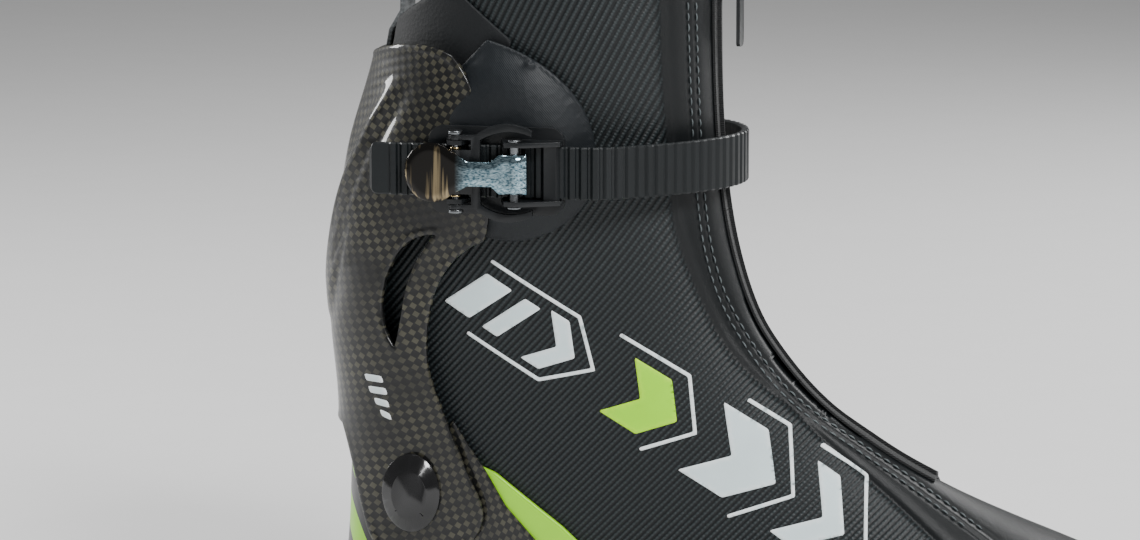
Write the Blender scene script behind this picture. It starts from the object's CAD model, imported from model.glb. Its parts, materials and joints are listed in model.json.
"""Looks of a cross country skate boot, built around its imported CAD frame.

Lengths named in millimetres are turned into metres by MM. +X is the toe, -Y the outer side, +Z up.
"""
import json
import math

import bmesh
import bpy
import numpy as np
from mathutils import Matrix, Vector
from mathutils.bvhtree import BVHTree
from mathutils.geometry import delaunay_2d_cdt
from mathutils.kdtree import KDTree


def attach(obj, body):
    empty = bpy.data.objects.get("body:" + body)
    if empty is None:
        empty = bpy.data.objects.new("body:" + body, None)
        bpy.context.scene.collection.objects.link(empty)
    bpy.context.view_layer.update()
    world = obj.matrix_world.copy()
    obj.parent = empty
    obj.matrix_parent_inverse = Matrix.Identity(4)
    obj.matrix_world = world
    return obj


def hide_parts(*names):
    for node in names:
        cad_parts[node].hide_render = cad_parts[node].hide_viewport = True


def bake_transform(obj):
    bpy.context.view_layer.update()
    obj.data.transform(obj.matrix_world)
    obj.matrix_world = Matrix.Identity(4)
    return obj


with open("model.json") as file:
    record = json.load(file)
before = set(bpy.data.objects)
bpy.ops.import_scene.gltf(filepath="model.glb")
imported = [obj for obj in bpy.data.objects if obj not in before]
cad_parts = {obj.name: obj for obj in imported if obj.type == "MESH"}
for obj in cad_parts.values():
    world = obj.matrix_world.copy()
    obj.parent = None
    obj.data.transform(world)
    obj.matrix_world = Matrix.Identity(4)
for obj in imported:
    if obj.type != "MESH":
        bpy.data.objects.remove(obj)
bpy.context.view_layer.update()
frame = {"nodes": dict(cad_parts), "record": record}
MM = 0.001
nodes = frame["nodes"]
record = frame["record"]
SLOT_OF = {part["node"]: part["material_slot"] for part in record["subparts"]}
BODY_OF = {node: body for body, members in record["behaviour"]["bodies"].items() for node in members}


# ---------------------------------------------------------------- camera, light and floor
VIEW_AZIMUTH = math.radians(12.0)
VIEW_ELEVATION = math.radians(9.0)
VIEW_CENTRE = Vector((44.6, 0.0, 141.2)) * MM
VIEW_DISTANCE = 1.6
VIEW_WIDTH = 0.380


def toward_camera():
    """Unit vector from the boot to the camera."""
    flat = math.cos(VIEW_ELEVATION)
    return Vector((math.sin(VIEW_AZIMUTH) * flat, -math.cos(VIEW_AZIMUTH) * flat, math.sin(VIEW_ELEVATION)))


def make_camera():
    """The camera at the photograph's angle."""
    lens = bpy.data.cameras.new("camera")
    lens.sensor_width = 36.0
    lens.lens = lens.sensor_width * VIEW_DISTANCE / VIEW_WIDTH
    lens.clip_end = 20.0
    eye = bpy.data.objects.new("camera", lens)
    eye.location = VIEW_CENTRE + toward_camera() * VIEW_DISTANCE
    eye.rotation_euler = (-toward_camera()).to_track_quat("-Z", "Y").to_euler()
    bpy.context.scene.collection.objects.link(eye)
    bpy.context.scene.camera = eye


def add_light(name, place, size, energy, shade=(1.0, 1.0, 1.0)):
    """A soft square lamp that looks at the boot."""
    lamp = bpy.data.lights.new(name, "AREA")
    lamp.size = size
    lamp.energy = energy
    lamp.color = shade
    holder = bpy.data.objects.new(name, lamp)
    holder.location = place
    holder.rotation_euler = (Vector(place) - VIEW_CENTRE).to_track_quat("Z", "Y").to_euler()
    bpy.context.scene.collection.objects.link(holder)


def make_studio():
    """Pale floor, grey-white sky and four soft lamps."""
    world = bpy.data.worlds.new("studio")
    world.use_nodes = True
    sky = world.node_tree.nodes["Background"]
    sky.inputs["Color"].default_value = (1.0, 1.0, 1.0, 1.0)
    sky.inputs["Strength"].default_value = 0.26
    bpy.context.scene.world = world
    add_light("key", (1.0, -1.1, 1.2), 0.45, 26.0)
    add_light("top", (0.1, -0.2, 1.6), 0.6, 12.0)
    add_light("rim", (-1.3, 0.35, 0.55), 0.4, 11.0)
    add_light("back", (0.9, 1.2, 0.9), 0.7, 16.0)
    ground = bpy.data.meshes.new("floor")
    half = 6.0
    corners = [(-half, -half, 0), (half, -half, 0), (half, half, 0), (-half, half, 0)]
    ground.from_pydata(corners, [], [(0, 1, 2, 3)])
    floor = bpy.data.objects.new("floor", ground)
    floor.location.z = -0.0002
    bpy.context.scene.collection.objects.link(floor)
    floor.data.materials.append(plain("floor_white", (0.86, 0.86, 0.86), 0.9))


# ---------------------------------------------------------------- material helpers
class Shade:
    """A node material being made: its tree, its shader and small helpers."""

    def __init__(self, name):
        self.material = bpy.data.materials.new(name)
        self.material.use_nodes = True
        self.tree = self.material.node_tree
        self.bsdf = self.tree.nodes["Principled BSDF"]

    def node(self, kind, **sockets):
        made = self.tree.nodes.new(kind)
        for key, value in sockets.items():
            self.set(made.inputs[key.replace("_", " ")], value)
        return made

    def set(self, socket, value):
        if isinstance(value, bpy.types.NodeSocket):
            self.tree.links.new(value, socket)
        else:
            socket.default_value = value

    def math(self, operation, a, b=0.0, c=0.0):
        made = self.tree.nodes.new("ShaderNodeMath")
        made.operation = operation
        for socket, value in zip(made.inputs, (a, b, c)):
            self.set(socket, value)
        return made.outputs[0]

    def axes(self, vector):
        made = self.node("ShaderNodeSeparateXYZ", Vector=vector)
        return made.outputs[0], made.outputs[1], made.outputs[2]

    def noise(self, scale, detail=2.0, vector=None):
        made = self.node("ShaderNodeTexNoise", Scale=scale, Detail=detail)
        self.set(made.inputs["Vector"], vector or self.place())
        return made.outputs["Fac"]

    def place(self):
        """Position in metres, the same at every pose."""
        return self.node("ShaderNodeTexCoord").outputs["Object"]

    def flat(self):
        """The piece's own flat coordinates, in millimetres."""
        return self.node("ShaderNodeUVMap").outputs["UV"]

    def mix(self, share, low, high):
        made = self.tree.nodes.new("ShaderNodeMix")
        made.data_type = "RGBA"
        self.set(made.inputs[0], share)
        for socket, value in ((made.inputs[6], low), (made.inputs[7], high)):
            self.set(socket, value if isinstance(value, bpy.types.NodeSocket) else (*value, 1.0))
        return made.outputs[2]

    def spread(self, value, low, high, to_low=0.0, to_high=1.0):
        made = self.node("ShaderNodeMapRange", Value=value)
        for name, number in (("From Min", low), ("From Max", high), ("To Min", to_low), ("To Max", to_high)):
            made.inputs[name].default_value = number
        return made.outputs[0]

    def bump(self, height, distance, strength=1.0):
        made = self.node("ShaderNodeBump", Height=height, Strength=strength, Distance=distance)
        self.set(self.bsdf.inputs["Normal"], made.outputs[0])

    def finish(self, **sockets):
        for key, value in sockets.items():
            self.set(self.bsdf.inputs[key.replace("_", " ")], value)
        return self.material


def plain(name, colour, roughness):
    """A matt surface with a faint mottle."""
    shade = Shade(name)
    tone = shade.mix(shade.noise(30.0), tuple(0.97 * c for c in colour), colour)
    return shade.finish(Base_Color=tone, Roughness=roughness)


def moulded(name, colour, roughness, grain=900.0, depth=0.00004, coat=0.0):
    """Moulded plastic or rubber: fine spark-eroded grain, patchy gloss and paler worn corners."""
    shade = Shade(name)
    edge = shade.spread(shade.node("ShaderNodeNewGeometry").outputs["Pointiness"], 0.50, 0.62)
    paler = tuple(min(1.0, 1.8 * c + 0.012) for c in colour)
    tone = shade.mix(edge, shade.mix(shade.noise(60.0, 3.0), colour, tuple(1.25 * c for c in colour)), paler)
    shade.bump(shade.noise(grain, 2.0), depth)
    gloss = shade.spread(shade.noise(45.0, 3.0), 0.3, 0.7, roughness * 0.85, roughness * 1.2)
    return shade.finish(Base_Color=tone, Roughness=gloss, Coat_Weight=coat, Coat_Roughness=0.1,
                        Specular_IOR_Level=0.4)


def metal(name, colour, roughness, scratch=1400.0):
    """Plated or oxidised steel with fine hairlines."""
    shade = Shade(name)
    x, y, z = shade.axes(shade.place())
    stretched = shade.node("ShaderNodeCombineXYZ", X=shade.math("MULTIPLY", x, 0.08), Y=y, Z=z).outputs[0]
    line = shade.noise(scratch, 3.0, stretched)
    gloss = shade.spread(line, 0.3, 0.7, roughness * 0.8, roughness * 1.3)
    tone = shade.mix(shade.noise(80.0), colour, tuple(0.9 * c for c in colour))
    shade.bump(line, 0.0000006)
    return shade.finish(Base_Color=tone, Roughness=gloss, Metallic=1.0)


# ---------------------------------------------------------------- mesh helpers
def make_piece(name, points, faces, material, uvs=None, smooth=True):
    """A mesh object from points in metres; uvs is one pair of millimetres for each point."""
    mesh = bpy.data.meshes.new(name)
    mesh.from_pydata([tuple(p) for p in points], [], [tuple(f) for f in faces])
    mesh.materials.append(material)
    if uvs is not None:
        layer = mesh.uv_layers.new(name="UVMap")
        corner = np.zeros(len(mesh.loops), dtype=np.int32)
        mesh.loops.foreach_get("vertex_index", corner)
        layer.data.foreach_set("uv", np.asarray(uvs, dtype=np.float32)[corner].ravel())
    mesh.polygons.foreach_set("use_smooth", [smooth] * len(mesh.polygons))
    mesh.update()
    piece = bpy.data.objects.new(name, mesh)
    bpy.context.scene.collection.objects.link(piece)
    return piece


def piece_of(name, whole, material):
    """A smooth mesh object from a bmesh, which is freed."""
    mesh = bpy.data.meshes.new(name)
    whole.to_mesh(mesh)
    whole.free()
    mesh.materials.clear()
    mesh.materials.append(material)
    mesh.polygons.foreach_set("use_smooth", [True] * len(mesh.polygons))
    piece = bpy.data.objects.new(name, mesh)
    bpy.context.scene.collection.objects.link(piece)
    return piece


def settle(piece, node=None, body=None, stands_for=()):
    """Gives a piece its body and the CAD nodes that it stands for."""
    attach(piece, body or BODY_OF[node])
    if node or stands_for:
        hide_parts(*(stands_for or (node,)))
    return piece


def merged(*names):
    """The triangles of CAD nodes as one welded bmesh."""
    whole = bmesh.new()
    for name in names:
        whole.from_mesh(nodes[name].data)
    bmesh.ops.remove_doubles(whole, verts=whole.verts, dist=0.002 * MM)
    bmesh.ops.triangulate(whole, faces=whole.faces)
    whole.normal_update()
    whole.faces.index_update()
    whole.faces.ensure_lookup_table()
    whole.verts.ensure_lookup_table()
    return whole


def bvh_of(*names):
    """CAD nodes as one surface to cast rays at."""
    whole = merged(*names)
    tree = BVHTree.FromBMesh(whole)
    whole.free()
    return tree


def softened(name, material, width=0.25, angle=32.0):
    """A CAD piece with its sharp edges rounded by a small bevel, width in millimetres."""
    whole = merged(name)
    bmesh.ops.dissolve_limit(whole, angle_limit=math.radians(0.6), verts=whole.verts, edges=whole.edges)
    piece = piece_of("look_" + name, whole, material)
    if width:
        bevel = piece.modifiers.new("bevel", "BEVEL")
        bevel.width = width * MM
        bevel.segments = 3
        bevel.limit_method = "ANGLE"
        bevel.angle_limit = math.radians(angle)
        bevel.harden_normals = True
        bevel.use_clamp_overlap = True
    return settle(piece, name)


def vertex_normals(points, triangles):
    """Area weighted normals of a triangle mesh."""
    a, b, c = (points[triangles[:, i]] for i in range(3))
    face = np.cross(b - a, c - a)
    total = np.zeros_like(points)
    for i in range(3):
        np.add.at(total, triangles[:, i], face)
    return total / np.maximum(np.linalg.norm(total, axis=1, keepdims=True), 1e-12)


def rim_loops(triangles):
    """The open edges of a triangle mesh as closed loops of points, with the mesh on their left."""
    directed = {}
    for a, b, c in triangles.tolist():
        for edge in ((a, b), (b, c), (c, a)):
            directed[edge] = True
    follow = {a: b for a, b in directed if (b, a) not in directed}
    loops = []
    while follow:
        start, here = follow.popitem()
        loop = [start]
        while here != start and here in follow:
            loop.append(here)
            here = follow.pop(here)
        if len(loop) > 2:
            loops.append(loop)
    return loops


def shell(name, points, triangles, thickness, material, uvs, bulge=0.4, steps=6):
    """A sheet given thickness inward. Its rounded rim stands out by bulge times half the thickness."""
    normals = vertex_normals(points, triangles)
    depth = np.broadcast_to(np.asarray(thickness, dtype=float), (len(points),))[:, None]
    every = [points, points - normals * depth]
    flat = [uvs, uvs]
    count = len(points)
    faces = [tuple(t) for t in triangles.tolist()]
    faces += [(a + count, c + count, b + count) for a, b, c in triangles.tolist()]
    size = 2 * count
    for loop in rim_loops(triangles):
        index = np.array(loop)
        here = points[index]
        along_rim = np.roll(here, -1, 0) - np.roll(here, 1, 0)
        out = np.cross(along_rim, normals[index])
        for _ in range(2):
            out = out + np.roll(out, 1, 0) + np.roll(out, -1, 0)
        out /= np.maximum(np.linalg.norm(out, axis=1, keepdims=True), 1e-12)
        half = depth[index] / 2
        rings = [index]
        for k in range(1, steps):
            turn = math.pi * k / steps
            ring = here - normals[index] * half * (1 - math.cos(turn)) + out * half * bulge * math.sin(turn)
            every.append(ring)
            flat.append(uvs[index])
            rings.append(np.arange(size, size + len(loop)))
            size += len(loop)
        rings.append(index + count)
        for upper, lower in zip(rings, rings[1:]):
            quads = zip(upper, lower, np.roll(lower, -1), np.roll(upper, -1))
            faces += [tuple(int(i) for i in quad) for quad in quads]
    return make_piece(name, np.vstack(every), faces, material, np.vstack(flat))


def run_along(line):
    """Distance along a line at each of its points."""
    return np.concatenate(([0], np.cumsum(np.linalg.norm(np.diff(line, axis=0), axis=1))))


def points_at(line, run, places):
    """Points of a line at the given distances along it."""
    return np.column_stack([np.interp(places, run, line[:, i]) for i in range(line.shape[1])])


# ---------------------------------------------------------------- sheets laid over CAD faces
AXIS_X = 30.0          # the upright line that the shaft's pieces are unrolled about
UNROLL_RADIUS = 45.0   # their radius when rolled out flat


def unroll(points):
    """Turn about the upright line, as millimetres of arc, and height."""
    x = points[:, 0] / MM - AXIS_X
    y = points[:, 1] / MM
    return np.column_stack((UNROLL_RADIUS * np.arctan2(y, -x), points[:, 2] / MM))


def outer_faces(whole, crease=35.0):
    """The faces of each solid that are joined, without a crease, to its largest face that looks outward."""
    limit = math.radians(crease)
    unseen = set(whole.faces)
    kept = []
    for first in whole.faces:
        if first not in unseen:
            continue
        unseen.discard(first)
        solid, stack = [], [first]
        while stack:
            face = stack.pop()
            solid.append(face)
            for edge in face.edges:
                for other in edge.link_faces:
                    if other in unseen:
                        unseen.discard(other)
                        stack.append(other)

        def outward(face):
            centre = face.calc_center_median()
            away = Vector((centre.x - AXIS_X * MM, centre.y, 0)).normalized()
            return face.calc_area() if face.normal.dot(away) > 0.85 else 0.0

        seed = max(solid, key=outward)
        region, stack = {seed}, [seed]
        while stack:
            for edge in stack.pop().edges:
                if len(edge.link_faces) == 2 and edge.calc_face_angle(0.0) < limit:
                    for other in edge.link_faces:
                        if other not in region:
                            region.add(other)
                            stack.append(other)
        kept.append(sorted(region, key=lambda face: face.index))
    return kept


def even_loop(points, step):
    """A closed loop resampled to an even spacing."""
    closed = np.vstack((points, points[:1]))
    run = run_along(closed)
    count = max(8, int(round(run[-1] / step)))
    return points_at(closed, run, np.linspace(0, run[-1], count, endpoint=False))


def inside(points, loops):
    """Even-odd test of flat points against flat closed loops."""
    odd = np.zeros(len(points), dtype=bool)
    for loop in loops:
        for (ax, ay), (bx, by) in zip(loop, np.roll(loop, -1, 0)):
            crosses = (ay > points[:, 1]) != (by > points[:, 1])
            if crosses.any():
                odd ^= crosses & (points[:, 0] < ax + (points[:, 1] - ay) * (bx - ax) / ((by - ay) or 1e-12))
    return odd


def mesh_flat(loops, step, clearance=0.45):
    """An even triangle mesh within flat loops: points, triangles. The loops' points come first."""
    rim = np.vstack(loops)
    low, high = rim.min(0), rim.max(0)
    rows = np.arange(low[1], high[1], step * 0.866)
    grid = []
    for number, v in enumerate(rows):
        u = np.arange(low[0] + (number % 2) * step / 2, high[0], step)
        grid.append(np.column_stack((u, np.full(len(u), v))))
    grid = np.vstack(grid)
    grid = grid[inside(grid, loops)]
    cell = {}
    for u, v in rim:
        cell.setdefault((int(u // step), int(v // step)), []).append((u, v))
    keep = []
    for u, v in grid:
        i, j = int(u // step), int(v // step)
        near = [p for di in (-1, 0, 1) for dj in (-1, 0, 1) for p in cell.get((i + di, j + dj), ())]
        keep.append(all((u - a) ** 2 + (v - b) ** 2 > (clearance * step) ** 2 for a, b in near))
    flat = np.vstack((rim, grid[np.array(keep, dtype=bool)]))
    edges, start = [], 0
    for loop in loops:
        count = len(loop)
        edges += [(start + k, start + (k + 1) % count) for k in range(count)]
        start += count
    found = delaunay_2d_cdt([Vector(p) for p in flat.tolist()], edges, [], 0, 1e-7)
    points = np.array([tuple(p) for p in found[0]])
    triangles = np.array([tuple(f) for f in found[2]])
    centres = points[triangles].mean(1)
    triangles = triangles[inside(centres, loops)]
    a, b, c = (points[triangles[:, i]] for i in range(3))
    turned = (b[:, 0] - a[:, 0]) * (c[:, 1] - a[:, 1]) - (b[:, 1] - a[:, 1]) * (c[:, 0] - a[:, 0]) < 0
    triangles[turned] = triangles[turned][:, ::-1]
    return points, triangles


def lay_over(name, step):
    """Even sheets over the outer faces of a CAD piece: a list of points, triangles and flat places."""
    whole = merged(name)
    sheets = []
    for region in outer_faces(whole):
        triangles = np.array([[v.index for v in face.verts] for face in region])
        places = np.array([tuple(v.co) for v in whole.verts])
        surface = BVHTree.FromPolygons([tuple(p) for p in places], [tuple(t) for t in triangles.tolist()])
        rims = [even_loop(places[loop], step * MM) for loop in rim_loops(triangles)]
        flat, mesh = mesh_flat([unroll(rim) for rim in rims], step)
        solid = np.zeros((len(flat), 3))
        edge = np.vstack(rims)
        solid[:len(edge)] = edge
        for k in range(len(edge), len(flat)):
            turn = flat[k, 0] / UNROLL_RADIUS
            away = Vector((-math.cos(turn), math.sin(turn), 0))
            axis = Vector((AXIS_X * MM, 0, flat[k, 1] * MM))
            hit = surface.ray_cast(axis + away * 0.3, -away, 0.3)[0]
            if hit is None:
                hit = surface.find_nearest(axis + away * UNROLL_RADIUS * MM)[0]
            solid[k] = hit
        a, b, c = (solid[mesh[:, i]] for i in range(3))
        facing = np.cross(b - a, c - a)
        away = solid[mesh].mean(1) - np.array([AXIS_X * MM, 0, 0])
        away[:, 2] = 0
        if np.einsum("ij,ij->i", facing, away).sum() < 0:
            mesh = mesh[:, ::-1]
        sheets.append((solid, mesh, flat))
    whole.free()
    return sheets


def rim_distance(points, triangles):
    """Distance of each point from the sheet's rim, in millimetres."""
    rim = [i for loop in rim_loops(triangles) for i in loop]
    tree = KDTree(len(rim))
    for i in rim:
        tree.insert(Vector(points[i]), i)
    tree.balance()
    return np.array([tree.find(Vector(p))[2] for p in points]) / MM


# ---------------------------------------------------------------- materials
def twill(name):
    """Woven side fabric: slanted ridges between smooth bands. The mesh's UV map holds millimetres across
    and along the ridges, and its points carry how woven the cloth is there."""
    shade = Shade(name)
    across, along_ridge, _ = shade.axes(shade.flat())
    woven = shade.node("ShaderNodeAttribute")
    woven.attribute_name = "woven"
    share = woven.outputs["Fac"]
    cells = shade.node("ShaderNodeCombineXYZ", X=across, Y=along_ridge).outputs[0]
    wobble = shade.math("MULTIPLY", shade.math("SUBTRACT", shade.noise(1.1, 2.0, cells), 0.5), 0.9)
    phase = shade.math("ADD", shade.math("MULTIPLY", across, math.tau / 1.75), wobble)
    ridge = shade.math("ADD", shade.math("MULTIPLY", shade.math("SINE", phase), 0.5), 0.5)
    beads = shade.math("ADD", phase, shade.math("MULTIPLY", along_ridge, math.tau / 1.1))
    knit = shade.math("ADD", shade.math("MULTIPLY", shade.math("SINE", beads), 0.16), 0.84)
    ridge = shade.math("MULTIPLY", shade.math("MULTIPLY", ridge, knit), share)
    fuzz = shade.noise(3.2, 3.0, cells)
    weave = shade.math("ADD", ridge, shade.math("MULTIPLY", fuzz, 0.35))
    low = shade.mix(fuzz, (0.0015, 0.0022, 0.0028), (0.006, 0.008, 0.009))
    high = shade.mix(fuzz, (0.012, 0.017, 0.019), (0.036, 0.046, 0.049))
    tone = shade.mix(shade.spread(ridge, 0.25, 0.85), low, high)
    shade.bump(weave, 0.00028)
    return shade.finish(Base_Color=tone, Roughness=0.43, Specular_IOR_Level=0.35)


def carbon(name):
    """Chequered fibre weave under clear lacquer. The UV map is in millimetres."""
    shade = Shade(name)
    u, v, _ = shade.axes(shade.flat())
    warp = shade.noise(0.035, 1.0, shade.flat())
    u = shade.math("ADD", u, shade.math("MULTIPLY", warp, 3.0))
    slant = math.radians(31.0)
    cosine, sine = math.cos(slant), math.sin(slant)
    turned_u = shade.math("ADD", shade.math("MULTIPLY", u, cosine), shade.math("MULTIPLY", v, sine))
    turned_v = shade.math("SUBTRACT", shade.math("MULTIPLY", v, cosine), shade.math("MULTIPLY", u, sine))
    tow = 2.0
    wave_u = shade.math("SINE", shade.math("MULTIPLY", turned_u, math.pi / tow))
    wave_v = shade.math("SINE", shade.math("MULTIPLY", turned_v, math.pi / tow))
    product = shade.math("MULTIPLY", wave_u, wave_v)
    both_up = shade.math("MINIMUM", wave_u, wave_v)
    both_down = shade.math("MULTIPLY", shade.math("MAXIMUM", wave_u, wave_v), -1.0)
    cell = shade.spread(shade.math("MAXIMUM", both_up, both_down), 0.16, 0.34)
    threads = shade.noise(9.0, 2.0, shade.flat())
    light = shade.mix(threads, (0.036, 0.034, 0.021), (0.100, 0.094, 0.064))
    dark = shade.mix(threads, (0.0012, 0.0012, 0.0014), (0.004, 0.0045, 0.0045))
    patch = shade.spread(shade.noise(0.05, 1.0, shade.flat()), 0.30, 0.62, 0.15, 1.0)
    tone = shade.mix(shade.math("MULTIPLY", cell, patch), dark, light)
    shade.bump(product, 0.00006)
    return shade.finish(Base_Color=tone, Roughness=0.5, Specular_IOR_Level=0.25, Coat_Weight=0.55,
                        Coat_Roughness=0.06)


def leather(name, colour, roughness=0.55, scale=420.0, depth=0.00012):
    """Supple coated fabric: fine diagonal grain and shallow creases."""
    shade = Shade(name)
    x, _, z = shade.axes(shade.place())
    slant = shade.math("ADD", shade.math("MULTIPLY", x, 1.2), z)
    fine = shade.math("SINE", shade.math("MULTIPLY", slant, math.tau / 0.00085))
    cells = shade.node("ShaderNodeTexVoronoi", Scale=scale, Vector=shade.place()).outputs["Distance"]
    height = shade.math("ADD", shade.math("MULTIPLY", fine, 0.14), cells)
    tone = shade.mix(shade.noise(50.0, 4.0), colour, tuple(1.7 * c + 0.004 for c in colour))
    shade.bump(height, depth)
    return shade.finish(Base_Color=tone, Roughness=roughness, Specular_IOR_Level=0.35)


def knitted(name, colour, pitch=0.8, roughness=0.8, axis="x"):
    """Brushed lining or webbing with rows of thread."""
    shade = Shade(name)
    x, y, z = shade.axes(shade.place())
    wave = math.tau / (pitch * MM)
    rows = shade.math("SINE", shade.math("MULTIPLY", {"x": x, "y": y, "z": z}[axis], wave))
    other = shade.math("SINE", shade.math("MULTIPLY", {"x": z, "y": z, "z": y}[axis], wave))
    height = shade.math("ADD", rows, shade.math("MULTIPLY", other, 0.4))
    tone = shade.mix(shade.spread(height, -1.2, 1.2), tuple(0.45 * c for c in colour), colour)
    fluff = shade.math("MULTIPLY", shade.noise(700.0, 3.0), 0.5)
    tone = shade.mix(fluff, tone, tuple(1.5 * c for c in colour))
    shade.bump(height, 0.00010)
    return shade.finish(Base_Color=tone, Roughness=roughness, Sheen_Weight=0.12, Sheen_Roughness=0.5)


def striped_neon(name):
    """Neon moulding with slanted black flashes at its back half."""
    shade = Shade(name)
    x, _, z = shade.axes(shade.place())
    slant = shade.math("ADD", x, shade.math("MULTIPLY", z, 0.62))
    wave = shade.math("SINE", shade.math("MULTIPLY", slant, math.tau / 0.0135))
    stripe = shade.math("GREATER_THAN", wave, 0.15)
    behind = shade.math("LESS_THAN", x, 0.004)
    stripe = shade.math("MULTIPLY", stripe, behind)
    neon = shade.mix(shade.noise(60.0), (0.31, 0.74, 0.0), (0.35, 0.82, 0.0))
    tone = shade.mix(stripe, neon, (0.006, 0.006, 0.007))
    shade.bump(shade.noise(900.0), 0.00003)
    return shade.finish(Base_Color=tone, Roughness=0.38, Coat_Weight=0.3, Coat_Roughness=0.15)


def chromed(name):
    """Plated steel: a dark thumb disc with a few upright glints, and a cooler mottled neck and head."""
    shade = Shade(name)
    x, y, z = shade.axes(shade.place())
    neck = shade.spread(x, 0.0195, 0.0245)
    upright = shade.node("ShaderNodeCombineXYZ", X=x, Y=y, Z=shade.math("MULTIPLY", z, 0.05)).outputs[0]
    glint = shade.spread(shade.noise(420.0, 2.0, upright), 0.56, 0.66)
    disc = shade.mix(glint, (0.035, 0.033, 0.031), (0.34, 0.27, 0.16))
    flat = shade.node("ShaderNodeCombineXYZ", X=shade.math("MULTIPLY", x, 0.35), Y=y, Z=z).outputs[0]
    mottle = shade.spread(shade.noise(2600.0, 3.0, flat), 0.38, 0.62)
    cool = shade.mix(mottle, (0.06, 0.13, 0.17), (0.42, 0.56, 0.62))
    tone = shade.mix(neck, disc, cool)
    return shade.finish(Base_Color=tone, Roughness=0.11, Metallic=1.0)


SATIN = moulded("satin_black", (0.004, 0.005, 0.006), 0.34)
GLOSS = moulded("gloss_black", (0.0025, 0.0025, 0.003), 0.14, depth=0.00001, coat=0.5)
STRAP = moulded("strap_plastic", (0.006, 0.008, 0.009), 0.40)
RUBBER = moulded("sole_rubber", (0.014, 0.014, 0.015), 0.7, grain=600.0, depth=0.00012)
SOLE = moulded("sole_plastic", (0.017, 0.018, 0.019), 0.42)
CHROME = chromed("chrome")
STEEL = metal("dark_steel", (0.20, 0.21, 0.22), 0.26)
SPRING = metal("gilt_spring", (0.75, 0.58, 0.30), 0.22)
CARBON = carbon("carbon_weave")
TWILL = twill("side_fabric")
PAD = leather("pad_skin", (0.005, 0.007, 0.009), 0.48)
COLLAR = leather("collar_cloth", (0.0035, 0.0045, 0.0055), 0.65, scale=900.0, depth=0.00008)
LINING = knitted("lining_knit", (0.020, 0.021, 0.022))
WEBBING = knitted("webbing", (0.14, 0.15, 0.155), pitch=1.5, axis="y")
NEON = striped_neon("neon_heel")
CAP = moulded("toe_rubber", (0.013, 0.014, 0.015), 0.5, grain=700.0, depth=0.0001)
ZIP_CLOTH = knitted("zip_cloth", (0.008, 0.009, 0.010), pitch=0.6, axis="z")
BOARD = plain("board", (0.06, 0.05, 0.045), 0.8)
FOAM = knitted("insole_felt", (0.05, 0.05, 0.052))


# ---------------------------------------------------------------- one even skin over the upper
TOE_X, TOE_Z = 215.0, 28.0            # middle of the rounded toe
FOOT_X, FOOT_Z = 150.0, 35.0          # where the skin's rings begin to turn upright
PIVOT = (150.0, 150.0)                # side-view point in front of the ankle that the rings turn about
SHAFT_X, SHAFT_Z, CREST_Z = 35.0, 150.0, 205.0   # the rings lie flat from here up
RING_RAYS = 240


def ring_place(kind, share):
    """Middle of a ring, its forward-up axis and its sideways-tilt share, in the side view (millimetres)."""
    if kind == "toe":
        return np.array([TOE_X, TOE_Z]), math.pi / 2 * share
    if kind == "foot":
        return np.array([TOE_X + (FOOT_X - TOE_X) * share, TOE_Z + (FOOT_Z - TOE_Z) * share]), 0.0
    if kind == "ankle":
        turn = math.pi / 2 * share
        reach = (PIVOT[1] - FOOT_Z) + 15.0 * math.sin(2 * turn)
        return np.array([PIVOT[0] - reach * math.sin(turn), PIVOT[1] - reach * math.cos(turn)]), turn
    return np.array([SHAFT_X, SHAFT_Z + (CREST_Z - SHAFT_Z) * share]), 0.0


def ring_rays(kind, share, turns):
    """Starting points and directions of a ring's rays, in metres."""
    (x, z), angle = ring_place(kind, share)
    middle = np.array([x, 0.0, z]) * MM
    side = np.sin(turns)
    front = np.cos(turns)
    if kind == "toe":
        out = math.sin(angle)
        ways = np.column_stack((np.full(len(turns), math.cos(angle)), side * out, front * out))
    else:
        if kind == "foot":
            ahead = (0.0, 1.0)
        elif kind == "ankle":
            ahead = (math.sin(angle), math.cos(angle))
        else:
            ahead = (1.0, 0.0)
        ways = np.column_stack((front * ahead[0], side, front * ahead[1]))
    return middle, ways


def cast(surface, middle, ways, reach=0.22):
    """Outermost point of the surface along each ray, or not-a-number."""
    found = np.full((len(ways), 3), np.nan)
    for k, way in enumerate(ways):
        way = Vector(way)
        hit = surface.ray_cast(Vector(middle) + way * reach, -way, reach)[0]
        if hit is not None:
            found[k] = hit
    return found


def mend(ring, middle):
    """Closes small gaps of a ring and takes out points that fell into a seam."""
    reach = np.linalg.norm(ring - middle, axis=1)
    good = ~np.isnan(reach)
    if good.sum() < 8:
        return None
    count = len(ring)
    index = np.arange(count)
    filled = np.interp(index, index[good], reach[good], period=count)
    smooth = np.median([np.roll(filled, k) for k in (-4, -3, -2, 2, 3, 4)], axis=0)
    bad = ~good | (np.abs(filled - smooth) > 0.9 * MM)
    if bad.all():
        return filled
    return np.interp(index, index[~bad], filled[~bad], period=count)


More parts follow.
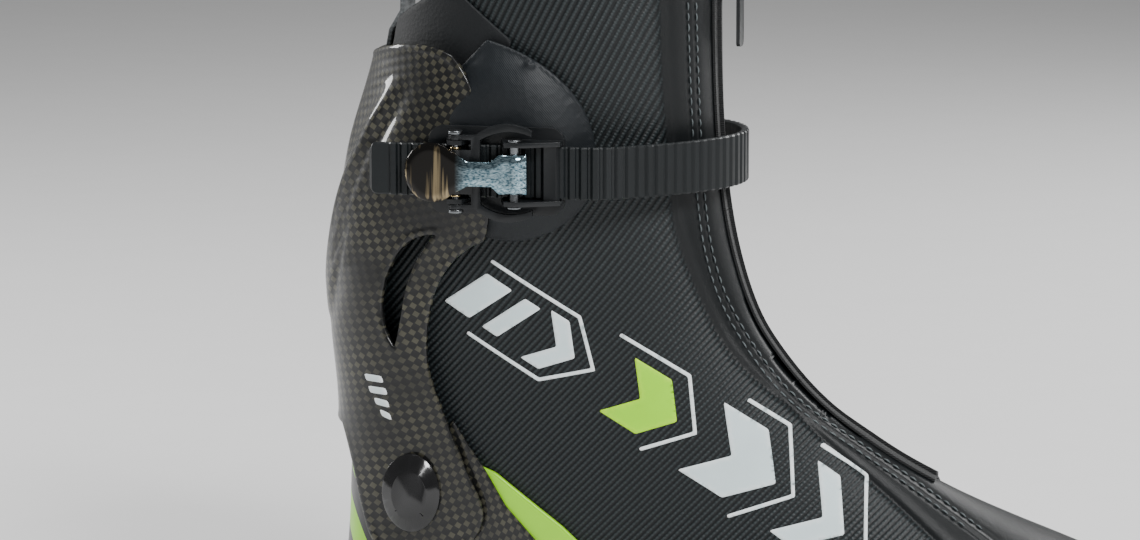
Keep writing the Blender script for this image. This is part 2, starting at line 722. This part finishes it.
def sweep(surface, spacing, columns):
    """Rings of even points over the upper, from the toe to the top edge: rings by columns by xyz."""
    turns = np.linspace(-math.pi, math.pi, RING_RAYS, endpoint=False)
    plan = [("toe", s) for s in np.linspace(0.04, 1, int(75 / spacing))[:-1]]
    plan += [("foot", s) for s in np.linspace(0, 1, int(65 / spacing))[:-1]]
    plan += [("ankle", s) for s in np.linspace(0, 1, int(150 / spacing))[:-1]]
    plan += [("shaft", s) for s in np.linspace(0, 1, int(55 / spacing))]
    middles, reaches, ways_of = [], [], []
    for kind, share in plan:
        middle, ways = ring_rays(kind, share, turns)
        reach = mend(cast(surface, middle, ways), middle)
        middles.append(middle)
        ways_of.append(ways)
        reaches.append(reach)
    reaches = np.array(reaches)
    calm = np.median([np.roll(reaches, k, 0) for k in (-3, -2, 2, 3)], axis=0)
    calm[:3], calm[-3:] = reaches[:3], reaches[-3:]
    off = np.abs(reaches - calm) > 0.8 * MM
    reaches[off] = calm[off]
    rings = [even_ring(m + w * r[:, None], columns) for m, w, r in zip(middles, ways_of, reaches)]
    return rings + crown(surface, rings[-1], spacing)


def even_ring(ring, columns):
    """A ring resampled evenly from its front line; the closing point isn't repeated."""
    front = len(ring) // 2
    ring = np.roll(ring, -front, axis=0)
    closed = np.vstack((ring, ring[:1]))
    run = run_along(closed)
    return points_at(closed, run, np.linspace(0, run[-1], columns, endpoint=False))


def crown(surface, last, spacing):
    """Rings from the last flat ring up to the top edge, each column ending at its own height."""
    ways = last - np.array([SHAFT_X * MM, 0, 0])
    ways[:, 2] = 0
    ways /= np.linalg.norm(ways, axis=1, keepdims=True)
    tops = []
    for way in ways:
        low, high = CREST_Z * MM, 262 * MM
        for _ in range(13):
            mid = (low + high) / 2
            axis = Vector((SHAFT_X * MM, 0, mid))
            if surface.ray_cast(axis + Vector(way) * 0.2, -Vector(way), 0.2)[0] is None:
                high = mid
            else:
                low = mid
        tops.append(low)
    tops = np.array(tops)
    for _ in range(3):
        tops = (tops + np.roll(tops, 1) + np.roll(tops, -1)) / 3
    count = int(40 / spacing)
    added = []
    for k in range(1, count + 1):
        heights = CREST_Z * MM + (tops - 0.15 * MM - CREST_Z * MM) * k / count
        ring = np.zeros_like(last)
        for j, (way, height) in enumerate(zip(ways, heights)):
            axis = Vector((SHAFT_X * MM, 0, height))
            hit = surface.ray_cast(axis + Vector(way) * 0.2, -Vector(way), 0.2)[0]
            ring[j] = hit if hit is not None else (added[-1][j] if added else last[j])
        added.append(ring)
    return added


def sock_mesh(rings):
    """Points and triangles of a skin over closed rings, facing outward."""
    rows, columns = len(rings), len(rings[0])
    points = np.vstack(rings)
    index = np.arange(rows * columns).reshape(rows, columns)
    a, b = index[:-1], index[1:]
    c, d = np.roll(b, -1, 1), np.roll(a, -1, 1)
    triangles = np.vstack((np.stack((a, b, c), -1).reshape(-1, 3), np.stack((a, c, d), -1).reshape(-1, 3)))
    middle = points.mean(0)
    p, q, r = (points[triangles[:, i]] for i in range(3))
    if np.einsum("ij,ij->i", np.cross(q - p, r - p), p - middle).sum() < 0:
        triangles = triangles[:, ::-1]
    return points, triangles


# ---------------------------------------------------------------- lines on the upper
# Side-view millimetres: x towards the toe, then height.
BAND_EDGE = [(80.3, 252), (81.0, 212), (82.2, 188), (83.6, 166), (85.2, 156), (91.8, 136.5), (100.0, 119.3),
             (111.0, 107.8), (122.0, 99.4), (131.5, 89.5), (142.0, 81.0), (160.0, 68.0), (185.0, 50.0)]
STITCH_LINE = [(88.3, 250), (89.2, 204), (90.4, 180), (91.9, 163), (94.3, 148.4), (99.4, 132.3),
               (109.7, 115.1), (123.3, 99.6), (146.8, 83.8), (170.0, 70.0), (196.0, 55.0)]


def smooth_line(points, step=0.5):
    """A polyline rounded off and resampled to an even step."""
    line = np.array(points, dtype=float)
    for _ in range(3):
        inner = np.empty((2 * (len(line) - 1), 2))
        inner[0::2] = 0.75 * line[:-1] + 0.25 * line[1:]
        inner[1::2] = 0.25 * line[:-1] + 0.75 * line[1:]
        line = np.vstack((line[:1], inner, line[-1:]))
    run = run_along(line)
    return points_at(line, run, np.arange(0, run[-1], step))


def offset_from(line, x, z):
    """Signed distance of side-view points from a line, in millimetres: positive on the toe side."""
    found = np.full(len(x), 1e9)
    sign = np.ones(len(x))
    direction = np.gradient(line, axis=0)
    for start in range(0, len(x), 20000):
        piece = slice(start, start + 20000)
        dx = x[piece, None] - line[None, :, 0]
        dz = z[piece, None] - line[None, :, 1]
        square = dx * dx + dz * dz
        best = square.argmin(1)
        row = np.arange(len(best))
        found[piece] = np.sqrt(square[row, best])
        cross = direction[best, 0] * dz[row, best] - direction[best, 1] * dx[row, best]
        sign[piece] = np.where(cross >= 0, 1.0, -1.0)
    return found * sign


def bend_between(piece, slot, *stands_for):
    """The piece follows the foot below the ankle and the cuff above it."""
    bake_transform(piece)
    if stands_for:
        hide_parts(*stands_for)
    return piece


def stitches(name, line, normals, material, length=2.6, gap=0.9, radius=0.32, sink=0.05):
    """A row of sewn threads along points in metres: short fat capsules that dip at both ends."""
    line = np.asarray(line, dtype=float)
    reach = np.concatenate(([0], np.cumsum(np.linalg.norm(np.diff(line, axis=0), axis=1)))) / MM
    points, faces = [], []
    sides, rings = 6, 6
    for start in np.arange(0.5, reach[-1] - length, length + gap):
        places = np.linspace(start, start + length, rings)
        middle = np.column_stack([np.interp(places, reach, line[:, i]) for i in range(3)])
        normal = np.column_stack([np.interp(places, reach, normals[:, i]) for i in range(3)])
        arch = np.sin(np.linspace(0, math.pi, rings))
        middle = middle + normal * (((arch * 0.30 - sink) * MM)[:, None])
        ahead = middle[-1] - middle[0]
        ahead /= np.linalg.norm(ahead)
        base = len(points)
        for k in range(rings):
            side = np.cross(ahead, normal[k])
            girth = radius * MM * (0.45 + 0.55 * arch[k])
            for n in range(sides):
                turn = math.tau * n / sides
                points.append(middle[k] + (side * math.cos(turn) + normal[k] * math.sin(turn)) * girth)
        for k in range(rings - 1):
            for n in range(sides):
                m = (n + 1) % sides
                low, high = base + k * sides, base + (k + 1) * sides
                faces.append((low + n, high + n, high + m, low + m))
        faces.append(tuple(range(base, base + sides)))
        faces.append(tuple(range(base + (rings - 1) * sides, base + rings * sides))[::-1])
    return make_piece(name, points, faces, material)


# ---------------------------------------------------------------- the fabric upper
SKIN_STEP = 0.9
band_edge = smooth_line(BAND_EDGE)
stitch_line = smooth_line(STITCH_LINE)
gaiter_faces = bvh_of("gaiter_foot", "gaiter_ankle", "gaiter_shaft")


def ridge_place(x, z):
    """Where a point lies across and along the slanted ridges of the side fabric, in millimetres."""
    heights = np.linspace(0, 260, 521)
    lean = np.interp(heights, [60, 120, 190, 260], [1.0, 0.95, 0.55, 0.50])
    shift = np.concatenate(([0], np.cumsum((lean[1:] + lean[:-1]) / 2 * np.diff(heights))))
    across = (x - np.interp(z, heights, shift)) * 1.75 / 2.4
    return across, z * 1.2


def make_gaiter():
    """The fabric skin: twill behind a smooth front band, with a seam and folds in front of it."""
    rings = sweep(gaiter_faces, SKIN_STEP, int(330 / SKIN_STEP))
    points, triangles = sock_mesh(rings)
    normals = vertex_normals(points, triangles)
    x, _, z = (points / MM).T
    front = offset_from(band_edge, x, z)
    seam = offset_from(stitch_line, x, z)
    lift = -0.75 * np.exp(-(front / 0.9) ** 2)
    lift += 0.45 * np.exp(-((front - 3.2) / 2.2) ** 2)
    for side in (-1.0, 1.0):
        lift -= 0.42 * np.exp(-((seam + side) / 0.62) ** 2)
    lift += 0.22 * np.exp(-(seam / 0.6) ** 2)
    beyond = np.clip((seam - 5.0) / 2.0, 0, 1) * np.clip((z - 60) / 30, 0, 1) * np.clip((170 - z) / 25, 0, 1)
    lift += beyond * 0.30 * np.sin(seam * math.tau / 2.7)
    calm = np.clip((248 - z) / 10, 0, 1)
    points = points + normals * (lift * calm * MM)[:, None]
    woven = np.clip(0.5 - front / 0.8, 0, 1) * np.clip((z - 12) / 6, 0, 1)
    across, along_ridge = ridge_place(x, z)
    flat = np.column_stack((across, along_ridge))
    piece = shell("gaiter", points, triangles, 1.5 * MM, TWILL, flat, bulge=1.0)
    values = np.zeros(len(piece.data.vertices), dtype=np.float32)
    values[:len(woven)] = woven
    attribute = piece.data.attributes.new("woven", "FLOAT", "POINT")
    attribute.data.foreach_set("value", values)
    bend_between(piece, SLOT_OF["gaiter_shaft"], "gaiter_foot", "gaiter_ankle", "gaiter_shaft")
    return BVHTree.FromPolygons([tuple(p) for p in points], [tuple(t) for t in triangles.tolist()])


gaiter_skin = make_gaiter()


def on_skin(x, z, side=-1.0, lift=0.0):
    """Points on the fabric seen from the side, with their normals: from side-view millimetres."""
    places, normals = [], []
    for px, pz in zip(x, z):
        hit = gaiter_skin.ray_cast(Vector((px * MM, side * 0.15, pz * MM)), Vector((0, -side, 0)), 0.15)
        if hit[0] is None:
            hit = gaiter_skin.find_nearest(Vector((px * MM, side * 0.03, pz * MM)))
        places.append(np.array(hit[0]) + np.array(hit[1]) * lift * MM)
        normals.append(np.array(hit[1]))
    return np.array(places), np.array(normals)


THREAD = moulded("thread", (0.055, 0.065, 0.068), 0.6, grain=3000.0, depth=0.00008)
for side_name, side in (("outer", -1.0), ("inner", 1.0)):
    for row_name, shift in (("back", -0.95), ("front", 0.95)):
        slope = np.gradient(stitch_line, axis=0)
        slope /= np.linalg.norm(slope, axis=1, keepdims=True)
        row = stitch_line + np.column_stack((-slope[:, 1], slope[:, 0])) * shift
        row = row[(row[:, 1] < 241) & (row[:, 1] > 62)]
        places, normals = on_skin(row[:, 0], row[:, 1], side)
        sewn = stitches(f"stitches_{side_name}_{row_name}", places, normals, THREAD)
        bend_between(sewn, SLOT_OF["gaiter_shaft"])


# ---------------------------------------------------------------- printed marks: plain bars and chevrons
MARK_MIDDLE = (80.0, 100.0)
MARK_SLOPE = math.radians(-32.7)


def stroke(points, width):
    """A bent line of even width as one outline."""
    line = np.array(points, dtype=float)
    ahead = np.diff(line, axis=0)
    ahead /= np.linalg.norm(ahead, axis=1, keepdims=True)
    sides = np.column_stack((-ahead[:, 1], ahead[:, 0]))
    joint = np.vstack((sides[:1], sides[:-1] + sides[1:], sides[-1:]))
    joint /= np.linalg.norm(joint, axis=1, keepdims=True)
    stretch = np.ones(len(line))
    stretch[1:-1] = 1 / np.maximum((joint[1:-1] * sides[1:]).sum(1), 0.4)
    shift = joint * stretch[:, None] * width / 2
    return np.vstack((line + shift, (line - shift)[::-1]))


def rounded(outline, radius=0.8, step=0.7):
    """A closed outline with its corners cut round, resampled evenly."""
    line = np.array(outline, dtype=float)
    corners = []
    shortest = np.linalg.norm(line - np.roll(line, 1, 0), axis=1).min()
    radius = min(radius, 0.4 * shortest)
    for before, here, after in zip(np.roll(line, 1, 0), line, np.roll(line, -1, 0)):
        for share in (1.0, 0.4):
            way = (before - here) / np.linalg.norm(before - here)
            corners.append(here + way * radius * share)
        for share in (0.4, 1.0):
            way = (after - here) / np.linalg.norm(after - here)
            corners.append(here + way * radius * share)
    flat = np.array(corners)
    return even_loop(np.column_stack((flat, np.zeros(len(flat)))), step)[:, :2]


def print_on(name, outline, material, surface, side, slope=MARK_SLOPE, middle=MARK_MIDDLE, film=0.22):
    """A thin printed film in the shape of an outline, laid on a surface seen from the side."""
    loop = rounded(outline)
    turn = np.array([[math.cos(slope), math.sin(slope)], [-math.sin(slope), math.cos(slope)]])
    flat, triangles = mesh_flat([loop @ turn + np.array(middle)], 1.0)
    places = []
    for x, z in flat:
        hit = surface.ray_cast(Vector((x * MM, side * 0.15, z * MM)), Vector((0, -side, 0)), 0.15)
        if hit[0] is None:
            hit = surface.find_nearest(Vector((x * MM, side * 0.05, z * MM)))
        places.append(np.array(hit[0]) + np.array(hit[1]) * film * MM)
    if side > 0:
        triangles = triangles[:, ::-1]
    return shell(name, np.array(places), triangles, film * 1.6 * MM, material, flat, bulge=0.3, steps=3)


PRINT_WHITE = moulded("print_white", (0.62, 0.74, 0.76), 0.45, grain=1500.0, depth=0.00002)
PRINT_NEON = moulded("print_neon", (0.33, 0.78, 0.0), 0.5, grain=1500.0, depth=0.00002)


def chevron(u, width, height, lean=9.0):
    """A wide arrow head that points along the row."""
    return [(u, -height), (u + width, -height), (u + width + lean, 0.0), (u + width, height), (u, height),
            (u + lean, 0.0)]


MARKS = [
    ("bar_a", [(-78, -8), (-68, -8), (-61, 8), (-71, 8)], PRINT_WHITE),
    ("bar_b", [(-63, -8), (-57, -8), (-50, 8), (-56, 8)], PRINT_WHITE),
    ("arrow_a", chevron(-47, 7, 9.5, 8.0), PRINT_WHITE),
    ("arrow_neon", chevron(-16, 14, 10.5), PRINT_NEON),
    ("arrow_b", chevron(16, 17, 13.0, 12.0), PRINT_WHITE),
    ("arrow_c", chevron(52, 9, 13.0, 12.0), PRINT_WHITE),
    ("edge_a", stroke([(-72, 12.5), (-38, 12.5), (-25, 0.0), (-38, -12.5), (-66, -12.5)], 1.1), PRINT_WHITE),
    ("edge_b", stroke([(-24, 14.5), (2, 14.5), (14, 0.0), (2, -14.0)], 1.1), PRINT_WHITE),
    ("edge_c", stroke([(22, 17.5), (38, 17.5), (52, 0.0), (38, -17.0)], 1.1), PRINT_WHITE),
    ("edge_d", stroke([(50, 17.5), (68, 17.5), (82, 0.0), (70, -15.0)], 1.1), PRINT_WHITE),
]
for side_name, side in (("outer", -1.0), ("inner", 1.0)):
    for mark_name, outline, ink in MARKS:
        bend_between(print_on(f"mark_{mark_name}_{side_name}", outline, ink, gaiter_skin, side),
                     SLOT_OF["gaiter_shaft"])


# ---------------------------------------------------------------- padded liner
def make_liner():
    """Padded lining inside the fabric, with a soft rolled top."""
    surface = bvh_of("liner_foot", "liner_ankle", "liner_shaft")
    step = 2.2
    rings = sweep(surface, step, int(320 / step))
    points, triangles = sock_mesh(rings)
    flat = np.column_stack((points[:, 0], points[:, 2])) / MM
    piece = shell("liner", points, triangles, 4.4 * MM, LINING, flat, bulge=0.9, steps=10)
    bend_between(piece, SLOT_OF["liner_shaft"], "liner_foot", "liner_ankle", "liner_shaft")


make_liner()


# ---------------------------------------------------------------- shells of the cuff, heel and toe
def laid(name, material, step, thickness, bulge=0.35, shape=None, suffix=""):
    """A CAD layer's outer faces as an even sheet with thickness and a rounded rim."""
    for number, (points, triangles, flat) in enumerate(lay_over(name, step)):
        normals = vertex_normals(points, triangles)
        if shape is not None:
            points = points + normals * (shape(points, triangles) * MM)[:, None]
        title = f"look_{name}{suffix}_{number}"
        piece = shell(title, points, triangles, thickness * MM, material, flat, bulge)
        settle(piece, name)


def cuff_ribs(points, triangles):
    """Two sculpted ridges that run down the cuff's back, and a raised lip along its rim."""
    x, y, z = (points / MM).T
    edge = rim_distance(points, triangles)
    ridge = smooth_line([(-6.0, 208), (-13.6, 195.7), (-20.0, 183.7), (-28.0, 168), (-33.0, 150),
                         (-37.0, 128)])
    second = smooth_line([(-14.0, 184), (-19.0, 174), (-25.0, 160), (-31.0, 142), (-35.0, 124)])
    first = np.abs(offset_from(ridge, x, z))
    other = np.abs(offset_from(second, x, z))
    fade = np.clip((np.abs(y) - 2) / 10, 0, 1)
    fade = fade * np.clip((210 - z) / 15, 0, 1) * np.clip((z - 118) / 22, 0, 1)
    lift = 1.5 * np.exp(-(first / 2.4) ** 2) + 1.1 * np.exp(-(other / 1.8) ** 2)
    lift -= 0.9 * np.exp(-(((first - 5.0)) / 2.4) ** 2)
    lift = lift * fade * np.clip(edge / 4.0, 0, 1)
    return lift + 0.25 * np.exp(-((edge - 0.9) / 0.7) ** 2)


laid("cuff", CARBON, 1.1, 2.3, bulge=0.5, shape=cuff_ribs)
cuff_skin = BVHTree.FromObject(bpy.data.objects["look_cuff_0"], bpy.context.evaluated_depsgraph_get())
for side_name, side in (("outer", -1.0), ("inner", 1.0)):
    for number in range(4):
        tall = (6.0, 6.0, 4.5, 3.0)[number]
        bar = [(number * 4.2, -tall / 2), (number * 4.2 + 2.3, -tall / 2), (number * 4.2 + 4.6, tall / 2),
               (number * 4.2 + 2.3, tall / 2)]
        dash = print_on(f"cuff_dash_{number}_{side_name}", bar, PRINT_WHITE, cuff_skin, side,
                        slope=math.radians(-70.0), middle=(-14.5, 111.0))
        settle(dash, body="cuff")
laid("collar", COLLAR, 1.2, 1.3, bulge=0.6)
laid("heel_counter", NEON, 1.3, 1.9, bulge=0.5)
laid("heel_brace", CARBON, 1.3, 1.3, bulge=0.6)


# ---------------------------------------------------------------- pads under the strap
def calmed(values, triangles, rounds, free):
    """Values at a mesh's points, averaged again and again with their neighbours where free."""
    edges = np.vstack((triangles[:, (0, 1)], triangles[:, (1, 2)], triangles[:, (2, 0)]))
    edges = np.unique(np.sort(edges, axis=1), axis=0)
    count = np.bincount(edges.ravel(), minlength=len(values))
    for _ in range(rounds):
        total = np.bincount(edges[:, 0], values[edges[:, 1]], len(values))
        total += np.bincount(edges[:, 1], values[edges[:, 0]], len(values))
        values = np.where(free, (values + total) / (1 + count), values)
    return values


def cushion(name, straight, flange, rise, full):
    """A stuffed pad: a flat sewn edge of flange millimetres, then a swell up to its full height."""
    (ax, az), (bx, bz) = straight
    along_edge = np.array([bx - ax, bz - az])
    along_edge /= np.linalg.norm(along_edge)
    for number, (points, triangles, flat) in enumerate(lay_over(name, 0.9)):
        normals = vertex_normals(points, triangles)
        x, _, z = (points / MM).T
        tucked = np.abs((x - ax) * along_edge[1] - (z - az) * along_edge[0])
        edge = rim_distance(points, triangles)
        blend_in = np.clip((tucked - edge) / 3.0, 0, 1)
        far = edge + (1 - blend_in) * flange
        share = np.clip((far - flange) / rise, 0, 1)
        height = 1.7 + (full - 1.7) * np.sqrt(1 - (1 - share) ** 2)
        height += 0.12 * np.sin(flat[:, 0] / 7.0 + 1.5 * np.sin(flat[:, 1] / 9.0)) * share
        height = calmed(height, triangles, 60, edge > 1.5)
        height = np.minimum(height, full * np.sqrt(np.clip(edge / 1.2, 0.05, 1)) + 0.6)
        points = points + normals * ((height - full) * MM)[:, None]
        piece = shell_with(f"look_{name}_{number}", points, triangles, height * MM, normals, flat)
        settle(piece, name)


def shell_with(name, points, triangles, depth, normals, flat):
    """A closed solid between the shaped points and their bases along the given normals."""
    count = len(points)
    faces = [tuple(t) for t in triangles.tolist()]
    faces += [(a + count, c + count, b + count) for a, b, c in triangles.tolist()]
    for loop in rim_loops(triangles):
        for a, b in zip(loop, loop[1:] + loop[:1]):
            faces.append((a, a + count, b + count, b))
    every = np.vstack((points, points - normals * depth[:, None]))
    return make_piece(name, every, faces, PAD, np.vstack((flat, flat)))


cushion("pad_lateral", ((13.0, 186.0), (38.5, 212.5)), 4.5, 9.0, 6.3)
cushion("pad_medial", ((20.0, 190.0), (20.0, 200.0)), 3.0, 7.0, 3.2)

# ---------------------------------------------------------------- ladder strap with its teeth and front loop
STRAP_LOW, STRAP_HIGH = 172.5, 189.5
STRAP_BODY = 1.6           # thickness under the teeth
TOOTH = 0.9
TOOTH_PITCH = 3.7
TIP_PLAIN, END_PLAIN = 6.0, 17.0   # lengths without teeth at the free tip and at the rivet
BARE = (17.5, 19.0)        # no tooth on this stretch from the tip
END_ROUND = 2.2            # corner radius of both ends
CHAMFER = 0.35
LOOP_PLAN = [(60.0, -51.3), (68.0, -50.8), (91.3, -29.0), (103.2, -6.0), (101.0, 17.0), (83.8, 37.5),
             (66.0, 46.4)]


def strap_path():
    """The strap's middle line in plan, in millimetres: along the outer side, then round the front."""
    straight = [(x, -51.3) for x in np.arange(-10.5, 60.0, 0.25)]
    bend = smooth_line(LOOP_PLAN, 0.25)
    line = np.vstack((straight, bend[bend[:, 0] >= 0]))
    step = np.linalg.norm(np.diff(line, axis=0), axis=1)
    return line[np.concatenate(([True], step > 0.01))]


def make_strap():
    """The strap as one bar swept along its path, with teeth outward and rounded ends."""
    line = strap_path()
    run = run_along(line)
    ahead = np.gradient(line, axis=0)
    for _ in range(12):
        ahead = (ahead + np.roll(ahead, 1, 0) + np.roll(ahead, -1, 0)) / 3
    ahead /= np.linalg.norm(ahead, axis=1, keepdims=True)
    out = np.column_stack((ahead[:, 1], -ahead[:, 0]))
    place = np.mod(run - TIP_PLAIN, TOOTH_PITCH)
    tooth = np.clip((place - 0.2) / 0.9, 0, 1) * np.clip((3.1 - place) / 0.25, 0, 1)
    smooth = (run < TIP_PLAIN) | (run > run[-1] - END_PLAIN) | ((run > BARE[0]) & (run < BARE[1]))
    tooth = np.where(smooth, 0.0, tooth) * TOOTH
    grow = np.clip(np.minimum(run, run[-1] - run) / END_ROUND, 0, 1)
    trim = END_ROUND * (1 - np.sqrt(1 - (1 - grow) ** 2))
    sections = []
    for (x, y), normal, rise, cut in zip(line, out, tooth, trim):
        top, low = STRAP_HIGH - cut, STRAP_LOW + cut
        face = STRAP_BODY / 2 + rise
        profile = [(-STRAP_BODY / 2, low + CHAMFER), (0.0, low), (face - CHAMFER, low), (face, low + 0.45),
                   (face, (low + top) / 2), (face, top - 0.45), (face - CHAMFER, top), (0.0, top),
                   (-STRAP_BODY / 2, top - CHAMFER)]
        sections.append([(x + normal[0] * reach, y + normal[1] * reach, z) for reach, z in profile])
    points = np.array(sections).reshape(-1, 3) * MM
    sides, count = len(sections[0]), len(sections)
    faces = []
    for i in range(count - 1):
        for k in range(sides):
            n = (k + 1) % sides
            faces.append((i * sides + k, i * sides + n, (i + 1) * sides + n, (i + 1) * sides + k))
    faces.append(tuple(range(sides))[::-1])
    faces.append(tuple(range((count - 1) * sides, count * sides)))
    piece = make_piece("strap", points, faces, STRAP, smooth=False)
    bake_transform(piece)
    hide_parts("ladder_strap", "ladder_loop")


make_strap()


# ---------------------------------------------------------------- chrome lever with a pillowed face
LEVER_ROUND = 1.5


def make_lever():
    """The lever's outer face domed towards its rim, on top of its plate and lugs."""
    for number, (points, triangles, flat) in enumerate(lay_over("lever", 0.55)):
        normals = vertex_normals(points, triangles)
        edge = rim_distance(points, triangles)
        share = np.clip(1 - edge / LEVER_ROUND, 0, 1)
        drop = calmed(0.9 * (1 - np.sqrt(1 - 0.98 * share ** 2)), triangles, 3, edge > 0.1)
        points = points + normals * ((0.75 - drop) * MM)[:, None]
        piece = shell(f"lever_face_{number}", points, triangles, 0.7 * MM, CHROME, flat, bulge=0.5)
        settle(piece, body="lever")


make_lever()


# ---------------------------------------------------------------- hard pieces, from their CAD shapes
HARD = {
    "buckle_base": (SATIN, 0.35), "lock_frame": (SATIN, 0.35), "lever": (CHROME, 0.3),
    "drive_pawl": (STEEL, 0.2), "drive_pin": (STEEL, 0.15), "lock_axle": (STEEL, 0.25),
    "lever_axle": (STEEL, 0.25), "lock_springs": (SPRING, 0.0), "loop_rivet": (STEEL, 0.3),
    "pivot_caps": (GLOSS, 1.2), "pivot_bolts": (STEEL, 0.3), "pivot_nuts": (STEEL, 0.3),
    "buckle_rivets": (STEEL, 0.2), "zip_slider": (STEEL, 0.25), "zip_pull": (SATIN, 0.25),
}


def joined(name, material, *members):
    """CAD pieces of one soft part as one mesh that bends at the ankle."""
    whole = merged(*members)
    for edge in whole.edges:
        edge.smooth = edge.calc_face_angle(math.pi) < math.radians(35.0)
    piece = piece_of(name, whole, material)
    return bend_between(piece, SLOT_OF[members[0]], *members)


joined("zip", ZIP_CLOTH, "zip_foot", "zip_ankle", "zip_shaft")
joined("tongue", LINING, "tongue_foot", "tongue_ankle", "tongue_shaft")
for name, (material, width) in HARD.items():
    softened(name, material, width)
for name in nodes:
    if name not in HARD and not nodes[name].hide_render:
        material = {"toe_cap": CAP, "outsole": RUBBER, "insole": FOAM, "lasting_board": BOARD,
                    "pull_tab": WEBBING}.get(name, SOLE)
        softened(name, material, 0.4)

make_studio()
make_camera()
